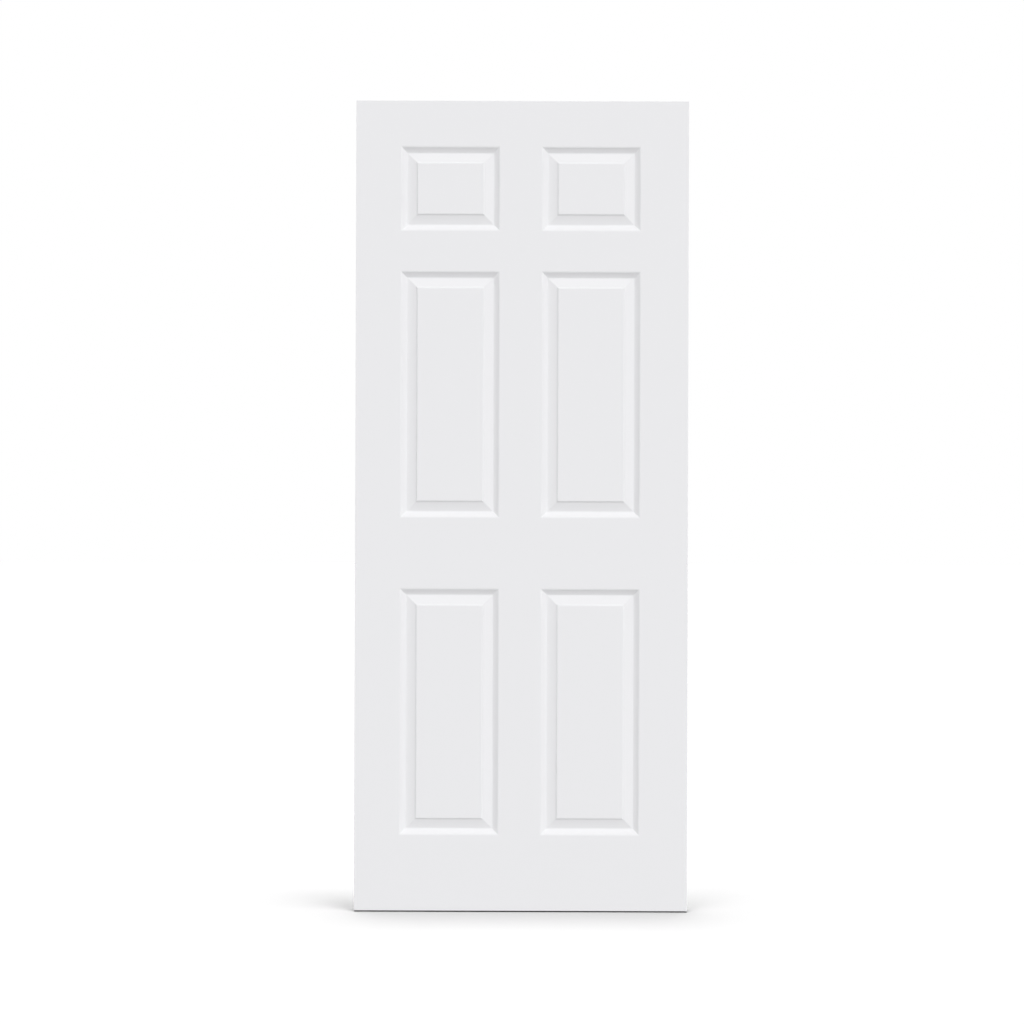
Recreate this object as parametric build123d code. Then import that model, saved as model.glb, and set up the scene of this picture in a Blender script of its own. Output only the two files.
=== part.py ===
"""White PVC door leaf with six raised panels, hung by its left edge.

Two moulded skins are bonded to a perimeter frame of stiles and rails, with a lock block
behind each stile. Millimetres, +Z up. The front faces -Y, X runs from the hinge edge to the
latch edge, and the origin is at the foot of the hinge edge, half way through the thickness.
"""

from build123d import *
import os

# Leaf
leaf_width = 835.0
leaf_height = 2032.0
leaf_thickness = 35.0

# Flat bands of the face around and between the panels
left_band = 111.0
right_band = 118.5
middle_band = 101.0
top_band = 113.0
frieze_band = 98.0
lock_band = 174.5
bottom_band = 188.5
small_panel_height = 215.0

# Moulded skins
skin_thickness = 3.0
arris_radius = 1.5

# Panel border, across its section from the panel's outline inwards
shoulder_run = 5.3
shoulder_drop = 1.4
quirk_run = 0.15
quirk_drop = 0.4
moulding_width = 17.5
groove_depth = 8.0
cove_sagitta = 0.25
bevel_width = 23.6
bevel_rise = 5.5
step_run = 2.6

# Frame between the skins
stile_width = 32.0
top_rail_height = 32.0
bottom_rail_height = 45.0

# Lock blocks, glued to the stiles at handle height
lock_height = 914.0
lock_block_height = 400.0
lock_block_clearance = 8.0

# Worked out from the sizes above
panel_width = (leaf_width - left_band - right_band - middle_band) / 2
tall_panel_height = (
    leaf_height - top_band - frieze_band - lock_band - bottom_band - small_panel_height
) / 2
frame_thickness = leaf_thickness - 2 * skin_thickness


def panel_outlines():
    """Centre and size of each panel's outline on the face: two columns of three rows."""
    columns = [left_band, left_band + panel_width + middle_band]
    middle_row = bottom_band + tall_panel_height + lock_band
    rows = [
        (bottom_band, tall_panel_height),
        (middle_row, tall_panel_height),
        (middle_row + tall_panel_height + frieze_band, small_panel_height),
    ]
    return [
        (x + panel_width / 2, z + height / 2, height) for x in columns for z, height in rows
    ]


def border_section():
    """Section of a panel's border from the face down to the groove and back up, with depth as y.

    A round shoulder rolls off the face, and a fine quirk parts it from the shallow cove. From the
    groove a bevel and a steeper step rise to the field, which is flush with the face.
    """
    quirk_end = (shoulder_run + quirk_run, shoulder_drop + quirk_drop)
    bevel_end = moulding_width + bevel_width
    shoulder = TangentArc((0, 0), (shoulder_run, shoulder_drop), tangent=(1, 0))
    quirk = Line(shoulder @ 1, quirk_end)
    cove = SagittaArc(quirk_end, (moulding_width, groove_depth), cove_sagitta)
    rise = Polyline(
        cove @ 1,
        (bevel_end, groove_depth - bevel_rise),
        (bevel_end + step_run, 0),
        (0, 0),
    )
    return make_face(shoulder + quirk + cove + rise)


def panel_border(height):
    """What the mould presses out of the face round one panel: the section, mitred at the corners."""
    left, foot = -panel_width / 2, -height / 2
    outline = Polyline((left, foot), (left, -foot), (-left, -foot), (-left, foot), (left, foot))
    start = Plane(origin=outline @ 0, x_dir=(1, 0, 0), z_dir=outline % 0)
    return sweep(start * border_section(), path=outline, transition=Transition.RIGHT)


def skin():
    """One moulded sheet lying face up, its inner side the face's relief one sheet thickness down."""
    corner = (Align.MIN, Align.MIN, Align.MAX)
    relief = Box(leaf_width, leaf_height, leaf_thickness / 2, align=corner)
    for x, z, height in panel_outlines():
        relief -= Pos(x, z, 0) * panel_border(height)
    sheet = relief - Pos(0, 0, -skin_thickness) * relief
    face = sheet.faces().sort_by(Axis.Z)[-1]
    return fillet(face.outer_wire().edges(), arris_radius)


def front_skin():
    face = Plane(origin=(0, -leaf_thickness / 2, 0), x_dir=(1, 0, 0), z_dir=(0, -1, 0))
    return face * skin()


def back_skin():
    return mirror(front_skin(), about=Plane.XZ)


def frame_bar(x, z, width, height):
    """Solid bar that fills the thickness between the skins, from its lower left corner."""
    corner = (Align.MIN, Align.CENTER, Align.MIN)
    return Pos(x, 0, z) * Box(width, frame_thickness, height, align=corner)


def left_stile():
    return frame_bar(0, 0, stile_width, leaf_height)


def right_stile():
    return frame_bar(leaf_width - stile_width, 0, stile_width, leaf_height)


def top_rail():
    width = leaf_width - 2 * stile_width
    return frame_bar(stile_width, leaf_height - top_rail_height, width, top_rail_height)


def bottom_rail():
    return frame_bar(stile_width, 0, leaf_width - 2 * stile_width, bottom_rail_height)


def lock_block(x, band):
    """Block behind the flat band beside a stile, stopping short of the panels' borders."""
    width = band - stile_width - lock_block_clearance
    return frame_bar(x, lock_height - lock_block_height / 2, width, lock_block_height)


def left_lock_block():
    return lock_block(stile_width, left_band)


def right_lock_block():
    return lock_block(leaf_width - right_band + lock_block_clearance, right_band)


os.makedirs("parts", exist_ok=True)
for piece in [
    front_skin,
    back_skin,
    left_stile,
    right_stile,
    top_rail,
    bottom_rail,
    left_lock_block,
    right_lock_block,
]:
    export_step(piece(), f"parts/{piece.__name__}.step")
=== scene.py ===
import math

import bmesh
import bpy
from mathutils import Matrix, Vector


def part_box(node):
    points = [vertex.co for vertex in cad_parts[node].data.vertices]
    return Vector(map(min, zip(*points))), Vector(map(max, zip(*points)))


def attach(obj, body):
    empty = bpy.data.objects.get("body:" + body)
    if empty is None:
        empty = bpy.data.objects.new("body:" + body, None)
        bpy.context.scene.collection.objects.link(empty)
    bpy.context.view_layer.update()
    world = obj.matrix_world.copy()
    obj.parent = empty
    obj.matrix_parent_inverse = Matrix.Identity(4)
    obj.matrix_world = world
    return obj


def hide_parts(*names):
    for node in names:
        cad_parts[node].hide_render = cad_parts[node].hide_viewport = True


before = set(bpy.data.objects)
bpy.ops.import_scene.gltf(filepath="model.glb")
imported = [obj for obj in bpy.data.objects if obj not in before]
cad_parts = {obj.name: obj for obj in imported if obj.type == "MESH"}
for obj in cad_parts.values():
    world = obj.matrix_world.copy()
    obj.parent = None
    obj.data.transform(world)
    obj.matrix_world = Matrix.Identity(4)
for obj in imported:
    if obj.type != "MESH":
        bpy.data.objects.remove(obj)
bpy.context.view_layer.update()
mm = 0.001


# Stiles
# The two upright bars of the frame between the skins, sawn from cellular PVC and planed. Their outer
# faces are the leaf's long edges, with the skins' glue lines on both sides.
bar_arris = 0.5 * mm


def linear(hex_colour):
    """An sRGB hex value as the linear red, green, blue and alpha that a shader takes."""
    channels = [int(hex_colour[i:i + 2], 16) / 255 for i in (1, 3, 5)]
    return [c / 12.92 if c <= 0.04045 else ((c + 0.055) / 1.055) ** 2.4 for c in channels] + [1.0]


def add_node(tree, kind, inputs, **settings):
    """Adds one shader node. An input given as another node's socket is linked, any other is set."""
    node = tree.nodes.new(kind)
    for name, value in settings.items():
        setattr(node, name, value)
    for name, value in inputs.items():
        if isinstance(value, bpy.types.NodeSocket):
            tree.links.new(value, node.inputs[name])
        else:
            node.inputs[name].default_value = value
    return node


def cellular_pvc():
    """White foamed PVC, planed: matt, with faint level cutter marks and tiny open cells.

    The real cells and marks are finer, and are drawn as coarse as they need to be to show.
    """
    cell_size = 0.9 * mm
    cutter_spacing = 4.935 * mm
    wave_bands = 20 / math.tau  # in each metre of a wave texture whose scale is 1
    material = bpy.data.materials.new("cellular_pvc_planed")
    material.use_nodes = True
    tree = material.node_tree
    place = add_node(tree, "ShaderNodeTexCoord", {}).outputs["Object"]
    cells = add_node(tree, "ShaderNodeTexVoronoi", {"Vector": place, "Scale": 1 / cell_size})
    marks = add_node(
        tree, "ShaderNodeTexWave",
        {"Vector": place, "Scale": 1 / cutter_spacing / wave_bands, "Distortion": 1.5},
        bands_direction="Z",
    )
    tint = add_node(tree, "ShaderNodeValToRGB", {"Fac": cells.outputs["Distance"]})
    tint.color_ramp.elements[0].color = linear("#dededd")
    tint.color_ramp.elements[1].color = linear("#ebebea")
    tint.color_ramp.elements[1].position = 0.35
    pits = add_node(
        tree, "ShaderNodeBump",
        {"Height": cells.outputs["Distance"], "Strength": 0.15, "Distance": 0.1 * mm},
    )
    surface = add_node(
        tree, "ShaderNodeBump",
        {
            "Height": marks.outputs["Fac"],
            "Strength": 0.2,
            "Distance": 0.05 * mm,
            "Normal": pits.outputs["Normal"],
        },
    )
    shader = tree.nodes["Principled BSDF"]
    shader.inputs["Roughness"].default_value = 0.62
    shader.inputs["IOR"].default_value = 1.5
    tree.links.new(tint.outputs["Color"], shader.inputs["Base Color"])
    tree.links.new(surface.outputs["Normal"], shader.inputs["Normal"])
    return material


bar_pvc = cellular_pvc()


def planed_bar(node):
    """A bar at its node's size and place, with its arrises taken off."""
    low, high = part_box(node)
    bpy.ops.object.select_all(action="DESELECT")
    bpy.ops.mesh.primitive_cube_add(size=1, location=(low + high) / 2, scale=high - low)
    bar = bpy.context.active_object
    bar.name = bar.data.name = node + "_bar"
    bpy.ops.object.transform_apply(location=True, rotation=True, scale=True)
    bpy.ops.object.mode_set(mode="EDIT")
    bpy.ops.mesh.bevel(offset=bar_arris, segments=2)
    bpy.ops.object.mode_set(mode="OBJECT")
    bar.data.materials.append(bar_pvc)
    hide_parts(node)
    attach(bar, "root")


for node in ("left_stile", "right_stile"):
    planed_bar(node)


# Rails
# The short bars across the head and foot of the frame, cut square from the same cellular PVC and butted
# between the stiles, so that their joints show as fine lines on the leaf's ends.
for node in ("top_rail", "bottom_rail"):
    planed_bar(node)


# Lock blocks
# Offcuts of the same bar glued to the stiles at handle height, to take a latch. They are shut in between
# the skins and show from nowhere, so the solids stay as they are.
for node in ("left_lock_block", "right_lock_block"):
    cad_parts[node].data.materials.clear()
    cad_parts[node].data.materials.append(bar_pvc)


# Front skin
# A sheet of rigid PVC pressed in a heated mould, which draws the six raised panels out of it. It is
# bonded to the frame all round, flush with the leaf's edges, and its outer arris is eased.
left_band = 111 * mm
right_band = 118.5 * mm
middle_band = 101 * mm
top_band = 113 * mm
frieze_band = 98 * mm
lock_band = 174.5 * mm
bottom_band = 188.5 * mm
small_panel_height = 215 * mm
sheet_thickness = 3 * mm
outer_arris = 1.5 * mm
glue_arris = 0.4 * mm

shoulder_run, shoulder_drop = 5.3 * mm, 1.4 * mm
quirk_run, quirk_drop = 0.15 * mm, 0.4 * mm
moulding_width = 17.5 * mm
groove_depth = 8 * mm
cove_sagitta = 0.25 * mm
bevel_width, bevel_rise = 23.6 * mm, 5.5 * mm
step_run = 2.6 * mm
arc_steps = 6
full_rounding = 3.2 * mm
groove_roundness = 1.0
quirk_roundness = 0.04
step_roundness = 0.18
smooth_bend = math.radians(40)
near = 0.01 * mm

low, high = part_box("front_skin")
face_y = low.y
panel_width = (high.x - low.x - left_band - right_band - middle_band) / 2
tall_panel_height = (
    high.z - low.z - top_band - frieze_band - lock_band - bottom_band - small_panel_height
) / 2
column_starts = [low.x + left_band, low.x + left_band + panel_width + middle_band]
middle_row = low.z + bottom_band + tall_panel_height + lock_band
rows = [
    (low.z + bottom_band, tall_panel_height),
    (middle_row, tall_panel_height),
    (middle_row + tall_panel_height + frieze_band, small_panel_height),
]


def moulded_pvc():
    """Rigid white PVC from a polished mould: satin, cool white, faintly rippled like orange peel."""
    peel_size = 4 * mm
    grit_size = 0.6 * mm
    material = bpy.data.materials.new("rigid_pvc_sheet_moulded_satin")
    material.use_nodes = True
    tree = material.node_tree
    place = add_node(tree, "ShaderNodeTexCoord", {}).outputs["Object"]
    peel = add_node(tree, "ShaderNodeTexNoise", {"Vector": place, "Scale": 1 / peel_size, "Detail": 2.0})
    grit = add_node(tree, "ShaderNodeTexNoise", {"Vector": place, "Scale": 1 / grit_size, "Detail": 1.0})
    gloss = add_node(
        tree, "ShaderNodeMapRange", {"Value": peel.outputs["Fac"], "To Min": 0.66, "To Max": 0.72}
    )
    ripple = add_node(
        tree, "ShaderNodeBump",
        {"Height": peel.outputs["Fac"], "Strength": 0.1, "Distance": 0.02 * mm},
    )
    surface = add_node(
        tree, "ShaderNodeBump",
        {
            "Height": grit.outputs["Fac"],
            "Strength": 0.1,
            "Distance": 0.01 * mm,
            "Normal": ripple.outputs["Normal"],
        },
    )
    shader = tree.nodes["Principled BSDF"]
    shader.inputs["Base Color"].default_value = linear("#eeeef0")
    shader.inputs["IOR"].default_value = 1.53
    tree.links.new(gloss.outputs["Result"], shader.inputs["Roughness"])
    tree.links.new(surface.outputs["Normal"], shader.inputs["Normal"])
    return material


def select_where(piece, kind, test):
    """Selects, in edit mode, the faces or edges of a piece that pass the test."""
    bpy.ops.mesh.select_mode(type=kind)
    bpy.ops.mesh.select_all(action="DESELECT")
    mesh = bmesh.from_edit_mesh(piece.data)
    for element in mesh.faces if kind == "FACE" else mesh.edges:
        if test(element):
            element.select_set(True)
    bmesh.update_edit_mesh(piece.data)


def is_panel(face):
    """True for a face whose middle lies inside one of the panels' outlines."""
    middle = face.calc_center_median()
    in_column = any(x < middle.x < x + panel_width for x in column_starts)
    return in_column and any(z < middle.z < z + height for z, height in rows)


def sink(run, drop, roundness=0.0):
    """Sets the selected faces in by run and down by drop.

    The new line is marked to be rounded later, by that share of the full rounding.
    """
    bpy.ops.mesh.inset(thickness=run, depth=-drop)
    bpy.ops.transform.edge_bevelweight(value=roundness)


def sink_along_arc(run, drop, sagitta):
    """Sinks the selected faces down an arc: hollow where the sagitta is above zero, else round."""
    chord = math.hypot(run, drop)
    half_sweep = 2 * math.atan(2 * sagitta / chord)
    radius = chord / (2 * math.sin(half_sweep))
    first = math.atan2(drop, run) + half_sweep
    angles = [first - 2 * half_sweep * i / arc_steps for i in range(arc_steps + 1)]
    for a, b in zip(angles, angles[1:]):
        sink(radius * (math.sin(a) - math.sin(b)), radius * (math.cos(b) - math.cos(a)))


bpy.ops.object.select_all(action="DESELECT")
leaf_middle = Vector(((low.x + high.x) / 2, face_y, (low.z + high.z) / 2))
bpy.ops.mesh.primitive_plane_add(size=1, location=leaf_middle, rotation=(math.pi / 2, 0, 0))
front = bpy.context.active_object
front.name = front.data.name = "front_moulded_skin"
front.scale = (high.x - low.x, high.z - low.z, 1)
bpy.ops.object.transform_apply(location=True, rotation=True, scale=True)
bpy.ops.object.mode_set(mode="EDIT")
for x in column_starts:
    for edge in (x, x + panel_width):
        bpy.ops.mesh.select_all(action="SELECT")
        bpy.ops.mesh.bisect(plane_co=(edge, 0, 0), plane_no=(1, 0, 0))
for z, height in rows:
    for edge in (z, z + height):
        bpy.ops.mesh.select_all(action="SELECT")
        bpy.ops.mesh.bisect(plane_co=(0, 0, edge), plane_no=(0, 0, 1))

select_where(front, "FACE", is_panel)
shoulder_slope = math.atan2(shoulder_drop, shoulder_run)
tangent_sagitta = math.hypot(shoulder_run, shoulder_drop) / 2 * math.tan(shoulder_slope / 2)
sink_along_arc(shoulder_run, shoulder_drop, -tangent_sagitta)
bpy.ops.transform.edge_bevelweight(value=quirk_roundness)
sink(quirk_run, quirk_drop, quirk_roundness)
cove_width = moulding_width - shoulder_run - quirk_run
sink_along_arc(cove_width, groove_depth - shoulder_drop - quirk_drop, cove_sagitta)
bpy.ops.transform.edge_bevelweight(value=groove_roundness)
sink(bevel_width, -bevel_rise, step_roundness)
sink(step_run, bevel_rise - groove_depth, step_roundness)
bpy.ops.object.mode_set(mode="OBJECT")

rounded = front.modifiers.new("rounded breaks", "BEVEL")
rounded.limit_method = "WEIGHT"
rounded.width = full_rounding
rounded.segments = 3
bpy.ops.object.modifier_apply(modifier=rounded.name)

bpy.ops.object.mode_set(mode="EDIT")
bpy.ops.mesh.select_all(action="SELECT")
bpy.ops.mesh.extrude_region_move(TRANSFORM_OT_translate={"value": (0, sheet_thickness, 0)})
bpy.ops.mesh.select_all(action="SELECT")
bpy.ops.mesh.normals_make_consistent(inside=False)


def on_rim(edge, y):
    """True for an edge of the leaf's outline that lies at depth y."""
    ends = [vertex.co for vertex in edge.verts]
    if any(abs(end.y - y) > near for end in ends):
        return False
    upright = any(all(abs(end.x - x) < near for end in ends) for x in (low.x, high.x))
    level = any(all(abs(end.z - z) < near for end in ends) for z in (low.z, high.z))
    return upright or level


select_where(front, "EDGE", lambda edge: on_rim(edge, face_y))
bpy.ops.mesh.bevel(offset=outer_arris, segments=4)
select_where(front, "EDGE", lambda edge: on_rim(edge, face_y + sheet_thickness))
bpy.ops.mesh.bevel(offset=glue_arris, segments=2)
bpy.ops.object.mode_set(mode="OBJECT")
front.data.materials.append(moulded_pvc())


def is_mitre(edge):
    """True for an edge that runs slantwise across a corner of a panel's border."""
    along = edge.verts[1].co - edge.verts[0].co
    return min(abs(along.x), abs(along.z)) > near


def finish_skin(skin, node):
    """Smooths a skin's bends, with its flats flat and its mitres crisp, and stands it for its node."""
    bpy.ops.object.select_all(action="DESELECT")
    skin.select_set(True)
    bpy.context.view_layer.objects.active = skin
    bpy.ops.object.mode_set(mode="EDIT")
    select_where(skin, "EDGE", is_mitre)
    bpy.ops.mesh.mark_sharp()
    bpy.ops.object.mode_set(mode="OBJECT")
    bpy.ops.object.shade_smooth_by_angle(angle=smooth_bend, keep_sharp_edges=True)
    flats = skin.modifiers.new("flat faces stay flat", "WEIGHTED_NORMAL")
    flats.keep_sharp = True
    bpy.ops.object.modifier_apply(modifier=flats.name)
    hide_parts(node)
    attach(skin, "root")


# Back skin
# The same moulding turned over and bonded to the other side of the frame, its panels in line with the
# front ones. Both are finished after the copy is made, since a finished copy would stand for both nodes.
bpy.ops.object.select_all(action="DESELECT")
front.select_set(True)
bpy.context.view_layer.objects.active = front
bpy.ops.object.duplicate()
back = bpy.context.active_object
back.name = back.data.name = "back_moulded_skin"
bpy.ops.object.mode_set(mode="EDIT")
bpy.ops.mesh.select_all(action="SELECT")
bpy.ops.transform.mirror(constraint_axis=(False, True, False), center_override=(0, 0, 0))
bpy.ops.mesh.normals_make_consistent(inside=False)
bpy.ops.object.mode_set(mode="OBJECT")
finish_skin(front, "front_skin")
finish_skin(back, "back_skin")


# Floor
# A plain matt studio floor, grey under light so strong that it shows white. The leaf clears it by a hair,
# which shows as a dark line, and it sends no light back up on to the leaf.
floor_gap = 2.8 * mm
floor_size = 60.0
bpy.ops.object.select_all(action="DESELECT")
bpy.ops.mesh.primitive_plane_add(size=floor_size, location=(0, 0, -floor_gap))
floor = bpy.context.active_object
floor.name = "studio_floor"
floor.visible_diffuse = False
floor.visible_glossy = False
floor.visible_shadow = False
floor_paint = bpy.data.materials.new("matt_grey_paint")
floor_paint.use_nodes = True
paint_shader = floor_paint.node_tree.nodes["Principled BSDF"]
paint_shader.inputs["Base Color"].default_value = linear("#7a7a7a")
paint_shader.inputs["Roughness"].default_value = 1.0
paint_shader.inputs["Specular IOR Level"].default_value = 0.0
floor.data.materials.append(floor_paint)


# Light
# Soft lights fall on each face from its front, above and right, and narrow ones along the leaf's plane
# whiten its long edges. Three from nearly overhead whiten the floor, and a faint white room fills in.
room_strength = 0.05
backdrop_strength = 1.0


def soft_sun(name, towards, strength, spread, receivers):
    """A sun with a spread in degrees, shining along a direction on the given objects only."""
    bpy.ops.object.light_add(type="SUN")
    sun = bpy.context.active_object
    sun.name = name
    sun.data.energy = strength
    sun.data.angle = math.radians(spread)
    sun.rotation_euler = towards.to_track_quat("-Z", "Y").to_euler()
    group = bpy.data.collections.new(name + "_receivers")
    for receiver in receivers:
        group.objects.link(receiver)
    sun.light_linking.receiver_collection = group


leaf = [piece for piece in bpy.data.objects if piece.type == "MESH" and piece is not floor]
for face, way in (("front", 1), ("back", -1)):
    soft_sun(face + "_light", Vector((0, way, 0)), 1.52, 50, leaf)
    soft_sun(face + "_upper_light", Vector((0, 0.63 * way, -0.78)), 1.5, 60, leaf)
    soft_sun(face + "_right_light", Vector((-0.87 * way, 0.5 * way, 0)), 0.74, 50, leaf)
for edge, way in (("left", 1), ("right", -1)):
    soft_sun(edge + "_edge_light", Vector((way, 0, 0)), 1.0, 1.5, leaf)
soft_sun("overhead_floor_light", Vector((0.012, -0.025, -1)), 9.1, 12, [floor])
soft_sun("right_floor_light", Vector((-0.087, 0.074, -1)), 4.7, 7.3, [floor])
soft_sun("left_floor_light", Vector((0.08, 0.1, -1)), 2.35, 7, [floor])

world = bpy.data.worlds.new("white_room")
world.use_nodes = True
bpy.context.scene.world = world
room = world.node_tree
seen = add_node(room, "ShaderNodeLightPath", {}).outputs["Is Camera Ray"]
brightness = add_node(
    room, "ShaderNodeMapRange",
    {"Value": seen, "To Min": room_strength, "To Max": backdrop_strength},
)
room.nodes["Background"].inputs["Color"].default_value = linear("#ffffff")
room.links.new(brightness.outputs["Result"], room.nodes["Background"].inputs["Strength"])
bpy.context.scene.view_settings.view_transform = "Standard"


# Camera
# Square-on to the leaf at about half its height, turned by a hair. The picture is 1024 pixels square, and
# the leaf's middle is a little right of and above the picture's.
picture_size = 1024
pixel = 2.508 * mm
leaf_middle_pixel = (521.6, 505.9)
camera_distance = 4.5
camera_roll = math.radians(-0.18)
sensor_width = 36.0
aim = leaf_middle + Vector((
    (picture_size / 2 - leaf_middle_pixel[0]) * pixel,
    0,
    (leaf_middle_pixel[1] - picture_size / 2) * pixel,
))
camera_place = aim - Vector((0, camera_distance, 0))
bpy.ops.object.camera_add(location=camera_place, rotation=(math.pi / 2, camera_roll, 0))
camera = bpy.context.active_object
camera.data.sensor_width = sensor_width
camera.data.lens = sensor_width * camera_distance / (picture_size * pixel)
bpy.context.scene.camera = camera
